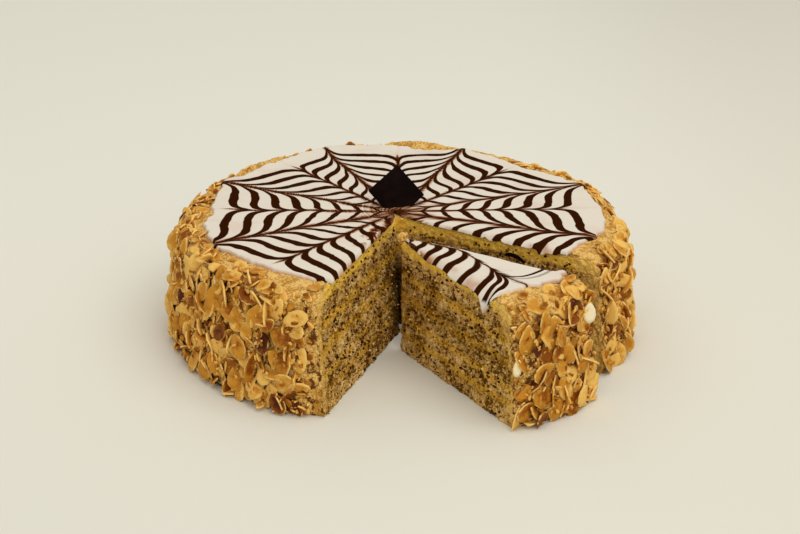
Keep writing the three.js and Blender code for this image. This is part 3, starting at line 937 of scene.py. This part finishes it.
# a flattened egg, its long side along X, curled and in part broken off
def flakeShape(segments, rings, rng, broken):
    bm = bmesh.new()
    bmesh.ops.create_uvsphere(bm, u_segments=segments, v_segments=rings, radius=1)
    taper = rng.uniform(0.05, 0.35)
    curl, twist = rng.uniform(-0.06, 0.2), rng.uniform(-0.12, 0.12)
    rim = bm.verts.layers.float.new("rim")
    for v in bm.verts:
        v[rim] = math.hypot(v.co.x, v.co.y)
        v.co.y *= (1 - taper * v.co.x) * (1 - 0.42 * max(0, v.co.x) ** 3)
        v.co.z = math.copysign(0.92 + 0.08 * abs(v.co.z), v.co.z)
    if broken:
        every = bm.verts[:] + bm.edges[:] + bm.faces[:]
        cut = bmesh.ops.bisect_plane(bm, geom=every, clear_outer=True,
                                     plane_co=(rng.uniform(0.1, 0.5), 0, 0),
                                     plane_no=(1, rng.uniform(-0.6, 0.6), 0))["geom_cut"]
        torn = [e for e in cut if isinstance(e, bmesh.types.BMEdge)]
        bmesh.ops.holes_fill(bm, edges=torn, sides=0)
    bm.normal_update()
    soft = [abs(f.normal.z) > 0.5 for f in bm.faces]  # the edge of a flake is cut square
    return shapeOf(bm, curl, twist, soft, [v[rim] for v in bm.verts])


def almondMaterial():
    g = Graph("flakedAlmond")
    a = almonds
    rim, toast = g.attribute("rim"), g.attribute("toast")
    blotch = g.noise(0.22, 3.0, 0.6)
    heat = toast + (blotch - 0.5) * 0.9 - rim * rim * 0.3 + 0.12
    colour = g.mix(g.step(heat, -0.6, -0.2), a["ivory"], a["pale"])
    colour = g.mix(g.step(heat, 0.1, 0.45), colour, a["gold"])
    colour = g.mix(g.step(heat, 0.5, 0.85), colour, a["toasted"])
    colour = g.mix(g.step(heat, 0.9, 1.2), colour, a["dark"])
    vein = g.step(g.noise(0.9, 2.0, 0.6), 0.62, 0.75)
    colour = g.mix(vein * 0.25, colour, a["toasted"])
    paleRim = g.step(rim, 0.86, 0.97) * g.step(g.noise(0.3, 1.0), 0.35, 0.6)
    colour = g.mix(paleRim * 0.85, colour, a["rim"])
    normal = g.bump(g.noise(1.2, 3.0), 0.0002)
    return g.finish(colour, 0.5 + blotch * 0.2, normal, 0.15)


# turns a flake to lie on a surface, then by its spin, its tip and its lean
def basis(normal, spin, lean, tip):
    across = Vector((0, 0, 1)).cross(normal).normalized()
    upward = normal.cross(across)
    turn = Matrix((across, upward, normal)).transposed().to_4x4()
    for axis, angle in (("Z", spin), ("Y", tip), ("X", lean)):
        turn = turn @ Matrix.Rotation(math.radians(angle), 4, axis)
    return turn


# the wall's outward direction, from its profile just above and below
def wallNormal(piece, azimuth, z):
    slope = math.atan2(wallOut(z - 0.7) - wallOut(z + 0.7), 1.4)
    return (heading(azimuth) * math.cos(slope) + Vector((0, 0, math.sin(slope)))).normalized()


def almondCoat(piece, material):
    a = almonds
    rng = random.Random(piece["seed"])
    whole = [flakeShape(11, 5, rng, False) for _ in range(7)]
    parts = [flakeShape(11, 5, rng, True) for _ in range(5)]
    chips = [flakeShape(6, 3, rng, False) for _ in range(4)]
    a0, a1 = (azimuthOf(piece, wallPoint(piece, f, 58, 0, False)) for f in (0, 1))
    share = (a1 - a0) / 280
    placed, placements = [], []

    def laid(shape, length, width, azimuth, z, lift, spin, lean, tip, toast):
        normal = wallNormal(piece, azimuth, z)
        at = piece["centre"] + heading(azimuth) * wallRadius(piece, azimuth, wallOut(z))
        at.z = z
        matrix = Matrix.Translation(at + normal * lift) @ basis(normal, spin, lean, tip)
        placements.append((shape, (length, width, a["thickness"]), matrix, toast))

    def laidFlat(at, spin, tilt, lengths, slimness, tones):
        turn = Matrix.Rotation(spin, 4, "Z") @ Matrix.Rotation(tilt, 4, "X")
        length = rng.uniform(*lengths)
        shape = rng.choice(whole + parts)
        placements.append((shape, (length, length * slimness, a["thickness"]),
                           Matrix.Translation(at) @ turn, rng.uniform(*tones)))

    # large flakes all over the wall, no two closer than their spacing
    for _ in range(round(a["tries"] * share)):
        azimuth, z = rng.uniform(a0 + 1.8, a1 - 1.8), rng.uniform(3.5, 62.5)
        run = math.radians(azimuth) * wallRadius(piece, azimuth)
        space = a["spacing"] * rng.uniform(0.8, 1.15) * piece["flakeSpace"]
        if any(abs(run - r) < space and math.hypot(run - r, z - h) < space for r, h in placed):
            continue
        placed.append((run, z))
        length = rng.uniform(*a["length"]) * (0.8 if z > 58 else 1)
        width = length * rng.uniform(*a["width"])
        shape = rng.choice(whole if rng.random() < a["wholeShare"] else parts)
        toast = min(1.15, max(0, rng.gauss(*a["toast"])))
        onEdge = rng.random() < piece["onEdge"]
        lean = rng.gauss(0, 18) + (rng.choice((-58, 58)) if onEdge else 0)
        laid(shape, length, width, azimuth, z, rng.uniform(*a["lift"]), rng.gauss(*a["spin"]), lean,
             rng.gauss(0, 10), toast)
    for azimuth, z, length, spin, toast, lean in a["singles"][piece["name"]]:
        laid(whole[0], length, length * 0.62, azimuth, z, 3.2, spin, lean, 0, toast)
    # bits between them
    for _ in range(round(a["bits"] * share)):
        azimuth, z = rng.uniform(a0 + 0.5, a1 - 0.5), rng.uniform(1, 63)
        length = rng.uniform(2, 6)
        laid(rng.choice(chips), length, length * rng.uniform(0.4, 0.75), azimuth, z,
             rng.uniform(*a["lift"]), rng.uniform(0, 180), rng.gauss(0, 35), rng.gauss(0, 22),
             rng.uniform(-0.2, 0.85))
    # flakes that lie at the foot, and on the rim outside the icing
    for _ in range(round(a["footFlakes"] * share)):
        azimuth = rng.uniform(a0 + 1, a1 - 1)
        out = rng.uniform(2, 5.5) + (3 if azimuth > 225 else 0)
        at = piece["centre"] + heading(azimuth) * wallRadius(piece, azimuth, out)
        at.z = rng.uniform(1.6, 3.0)
        laidFlat(at, rng.uniform(0, 6.3), rng.gauss(0, 0.12), (6, 11), 0.6, (0, 0.7))
    for _ in range(round(a["rimFlakes"] * share)):
        azimuth = rng.uniform(a0 + 1, a1 - 1)
        out = rng.uniform(along(piece["icing"], azimuth) + 3 - wallRadius(piece, azimuth), -1.5)
        if out < -13 or not 10 < azimuth < 230 and rng.random() < 0.8:
            continue
        at = piece["centre"] + heading(azimuth) * wallRadius(piece, azimuth, out)
        at.z = between(62.2, 64.6, ramp(-2, -12, out)) + rng.uniform(0, 1)
        spin = math.radians(azimuth + rng.gauss(90, 30))
        laidFlat(at, spin, rng.gauss(0.5, 0.4), (5, 11), 0.62, (0, 0.8))
    made = joined(piece["name"] + "Almonds", placements)
    print(piece["name"], len(placements), "almond flakes,", len(made.data.polygons), "faces")
    return finished(made, material, "coat")


almondSkin = almondMaterial()
almondCoat(cake, almondSkin)
almondCoat(wedge, almondSkin)
print("stage 4: almonds")

# a square chocolate plaque that stands on one corner
plaqueLook = {
    "side": 22.6, "thickness": 2.2, "rounding": 0.5,
    "foot": (-4.6, 5.3), "sunk": 6.7,
    "lean": 33, "turn": 16, "roll": -10,
    "colour": tone(12, 3, 2), "sheen": tone(22, 9, 6),
}


def chocolateMaterial():
    g = Graph("darkChocolate")
    cloud = g.noise(0.14, 3.0)
    colour = g.mix(g.step(cloud, 0.4, 0.7), plaqueLook["colour"], plaqueLook["sheen"])
    normal = g.bump(g.noise(0.5, 2.0), 0.00008)
    return g.finish(colour, 0.42 + cloud * 0.15, normal, 0.02)


def turnAbout(bm, axis, angle):
    matrix = Matrix.Rotation(math.radians(angle), 3, axis)
    bmesh.ops.rotate(bm, cent=(0, 0, 0), matrix=matrix, verts=bm.verts)


chocolate = chocolateMaterial()
p = plaqueLook
bm = bmesh.new()
bmesh.ops.create_cube(bm, size=1)
bmesh.ops.scale(bm, vec=(p["side"] * mm, p["side"] * mm, p["thickness"] * mm), verts=bm.verts)
bmesh.ops.bevel(bm, geom=bm.edges[:], offset=p["rounding"] * mm, segments=3, profile=0.5,
                affect="EDGES", material=-1)
turnAbout(bm, "Z", 45)
bmesh.ops.translate(bm, vec=(0, p["side"] / math.sqrt(2) * mm, 0), verts=bm.verts)
for axis, angle in (("Z", p["roll"]), ("X", 90 - p["lean"]), ("Z", p["turn"])):
    turnAbout(bm, axis, angle)
foot = Vector((*p["foot"], stack["icingTop"] - p["sunk"])) * mm
bmesh.ops.translate(bm, vec=foot, verts=bm.verts)
finished(newObject("plaquePiece", bm), chocolate, "chocolate", "plaque")

# a bent sliver of chocolate on the first cut face, as distances from the point and heights
sliverLook = {
    "from": (67, 56.6), "over": (73, 59.4), "to": (80, 53.8),
    "width": 2.4, "thickness": 1.4, "standsOut": 0.9,
}
s = sliverLook
bm = bmesh.new()
bmesh.ops.create_uvsphere(bm, u_segments=20, v_segments=12, radius=1)
turnAbout(bm, "Y", 90)
for v in bm.verts:
    t = (v.co.x + 1) / 2
    run, rise = ((1 - t) ** 2 * first + 2 * t * (1 - t) * over + t * t * last
                 for first, over, last in zip(s["from"], s["over"], s["to"]))
    at = cake["apex"] + heading(cake["cuts"][0]) * run
    at += faceNormal(cake, 0) * (s["standsOut"] + v.co.y * s["thickness"] / 2)
    at.z = rise + v.co.z * s["width"] / 2
    v.co = at * mm
finished(newObject("sliverPiece", bm), chocolate, "chocolate", "chocolate_sliver")
print("stage 5: chocolate")

# plain pale floor with painted shade, a little darker near the camera and to the right
floorLook = {
    "size": 12,
    "far": tone(233, 231, 217),
    "near": tone(222, 220, 206),
    "right": tone(213, 209, 193),
}
bm = bmesh.new()
bmesh.ops.create_grid(bm, x_segments=4, y_segments=4, size=floorLook["size"] / 2)
floor = newObject("floor", bm)
g = Graph("paleFloor")
aside, depth, _ = g.axes(g.place)
# painted shade: darker towards the camera and to the right
shadedFloor = g.mix(g.step(depth, 200, -420), floorLook["far"], floorLook["near"])
shadedFloor = g.mix(g.step(aside, 60, 330) * 0.5, shadedFloor, floorLook["right"])
floor.data.materials.append(g.finish(shadedFloor, 0.8, g.bump(g.noise(0.4, 2.0), 0.00005)))

# camera as solved from the photograph: picture sizes in pixels, angles in radians
cameraLook = {
    "pictureWidth": 800, "focal": 1588.8, "sensor": 36,
    "distance": 900, "aside": -1.854, "up": 31.247,
    "pitch": 0.405716, "roll": 0.00509,
}
c = cameraLook
pitch, roll = c["pitch"], c["roll"]
back = Vector((0, -math.cos(pitch), math.sin(pitch)))
level, steep = Vector((1, 0, 0)), Vector((0, math.sin(pitch), math.cos(pitch)))
right = level * math.cos(roll) + steep * math.sin(roll)
up = steep * math.cos(roll) - level * math.sin(roll)
eye = (back * c["distance"] + right * c["aside"] + up * c["up"]) * mm
camera = bpy.data.objects.new("camera", bpy.data.cameras.new("camera"))
camera.data.sensor_width = c["sensor"]
camera.data.lens = c["focal"] / c["pictureWidth"] * c["sensor"]
camera.matrix_world = Matrix.Translation(eye) @ Matrix((right, up, back)).transposed().to_4x4()
bpy.context.scene.collection.objects.link(camera)
bpy.context.scene.camera = camera

# soft lamps, placed in metres
studioLook = {
    # name, position, size, watts
    "lamps": [("overheadSoftbox", (0.45, -0.35, 1.5), 1.4, 11),
              ("frontFill", (0.9, -1.6, 0.8), 1.0, 4.4),
              ("leftFill", (-0.8, -1.5, 0.6), 1.0, 2.4),
              ("backGlow", (-0.6, 1.3, 1.1), 1.0, 2)],
    "lampColour": (1.0, 0.98, 0.95),
    "aim": (0, 0, 0.03),
    "skyColour": (1.0, 0.975, 0.93, 1),
    "skyStrength": 0.59,
}
for name, spot, size, watts in studioLook["lamps"]:
    lamp = bpy.data.objects.new(name, bpy.data.lights.new(name, "AREA"))
    lamp.data.size = size
    lamp.data.energy = watts
    lamp.data.color = studioLook["lampColour"]
    lamp.location = spot
    towards = Vector(studioLook["aim"]) - Vector(spot)
    lamp.rotation_euler = towards.to_track_quat("-Z", "Y").to_euler()
    bpy.context.scene.collection.objects.link(lamp)
world = bpy.data.worlds.new("studio")
bpy.context.scene.world = world
world.use_nodes = True
sky = world.node_tree.nodes["Background"].inputs
sky["Color"].default_value = studioLook["skyColour"]
sky["Strength"].default_value = studioLook["skyStrength"]
bpy.context.scene.view_settings.view_transform = "Standard"
print("stage 6: floor, camera and light")

low, high = cadBounds
